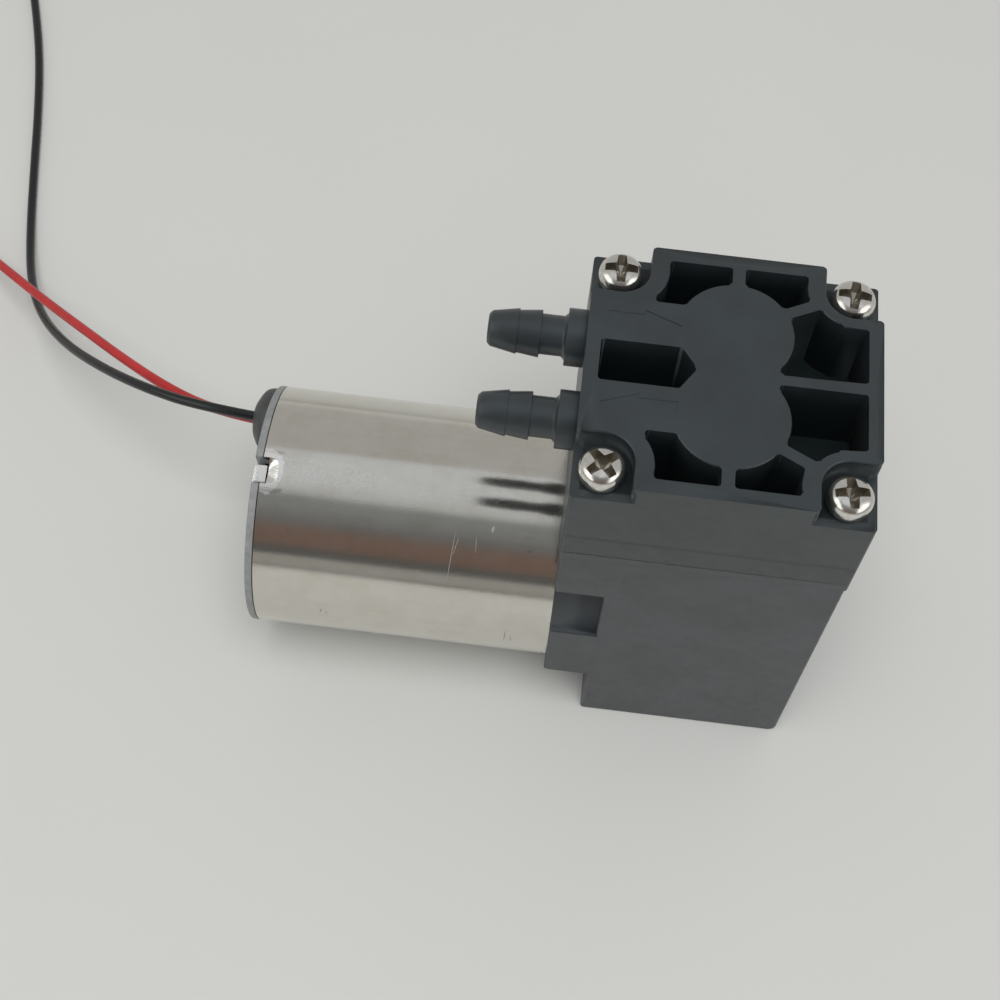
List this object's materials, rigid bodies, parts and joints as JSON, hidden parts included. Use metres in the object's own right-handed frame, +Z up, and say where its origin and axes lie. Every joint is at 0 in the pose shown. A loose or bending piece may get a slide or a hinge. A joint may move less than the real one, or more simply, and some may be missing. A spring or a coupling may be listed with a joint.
{
  "type": "brushless diaphragm vacuum pump",
  "caption": "Small brushless diaphragm vacuum pump: round motor on a moulded crankcase, with a screwed head, two barbed nozzles and loose wire leads.",
  "frame": {"origin": "on the crankcase's base plane, below the middle of the head", "axes": "+Z up from the base to the head, +X along the motor axis from the motor to the head, +Y to the inlet nozzle's side"},
  "size_m": [0.1362, 0.1287, 0.0556],
  "materials": {
    "housing_plastic": "satin moulded, dark slate grey",
    "can_nickel": "nickel plated, drawn streaks",
    "screw_nickel": "nickel plated, satin",
    "steel": "ground",
    "lamination_steel": "stacked, lacquered",
    "copper": "enamelled copper wire",
    "magnet": "matt black",
    "brass": "turned",
    "clamp_aluminium": "turned",
    "rod_plastic": "moulded acetal",
    "valve_rubber": "matt",
    "board": "solder resist",
    "chips": "moulded",
    "cap_grey": "dull grey",
    "grommet_grey": "matt dark grey",
    "lead_black": "satin lead insulation",
    "lead_red": "satin lead insulation",
    "tinned": "tinned strand"
  },
  "bodies": {
    "housing": {"head_cover": "housing_plastic", "valve_plate": "housing_plastic", "crankcase": "housing_plastic", "end_cover": "housing_plastic", "motor_can": "can_nickel", "cover_screws": "screw_nickel", "motor_screws": "screw_nickel", "front_bearing_outer_race": "steel", "front_bearing_balls": "steel", "rear_bearing_outer_race": "steel", "rear_bearing_balls": "steel", "inlet_flap_clip": "steel", "outlet_flap_clip": "steel", "stator_core": "lamination_steel", "stator_windings": "copper", "head_gasket": "valve_rubber", "diaphragm": "valve_rubber", "driver_board": "board", "driver_parts": "chips", "rear_cap": "cap_grey", "lead_grommet": "grommet_grey", "black_lead": "lead_black", "black_coil": "lead_black", "red_lead": "lead_red", "red_coil": "lead_red", "inner_lead_ends": "lead_red", "black_tip": "tinned", "red_tip": "tinned"},
    "rotor": {"motor_shaft": "steel", "rotor_core": "lamination_steel", "rotor_magnet": "magnet", "front_bearing_inner_race": "steel", "rear_bearing_inner_race": "steel", "eccentric": "brass", "grub_screw": "screw_nickel", "crank_pin": "steel", "pin_retainer": "steel", "rod_bearing_inner_race": "steel"},
    "rod": {"connecting_rod": "rod_plastic", "rod_bearing_outer_race": "steel", "rod_bearing_balls": "steel", "clamp_plate": "clamp_aluminium", "clamp_screw": "screw_nickel"},
    "inlet_flap": {"inlet_flap": "valve_rubber"},
    "outlet_flap": {"outlet_flap": "valve_rubber"}
  },
  "joints": [
    {"name": "rotor_spin", "type": "hinge", "parent": "housing", "child": "rotor", "pos_m": [0, 0, 0.01706], "axis": [1, 0, 0], "continuous": true},
    {"name": "rod_orbit", "type": "hinge", "parent": "rotor", "child": "rod", "pos_m": [0, 0, 0.01576], "axis": [1, 0, 0], "continuous": true, "deforming": ["diaphragm"]},
    {"name": "inlet_flap_open", "type": "hinge", "parent": "housing", "child": "inlet_flap", "pos_m": [0.003, 0.005, 0.04383], "axis": [0, -1, 0], "range_deg": [0, 9], "stiffness_Nm_per_rad": 0.0001},
    {"name": "outlet_flap_open", "type": "hinge", "parent": "housing", "child": "outlet_flap", "pos_m": [0.003, -0.005, 0.04482], "axis": [0, 1, 0], "range_deg": [0, 14], "stiffness_Nm_per_rad": 0.0001}
  ],
  "couplings": [
    {"joint": "rod_orbit", "follows": "rotor_spin", "ratio": -1}
  ]
}
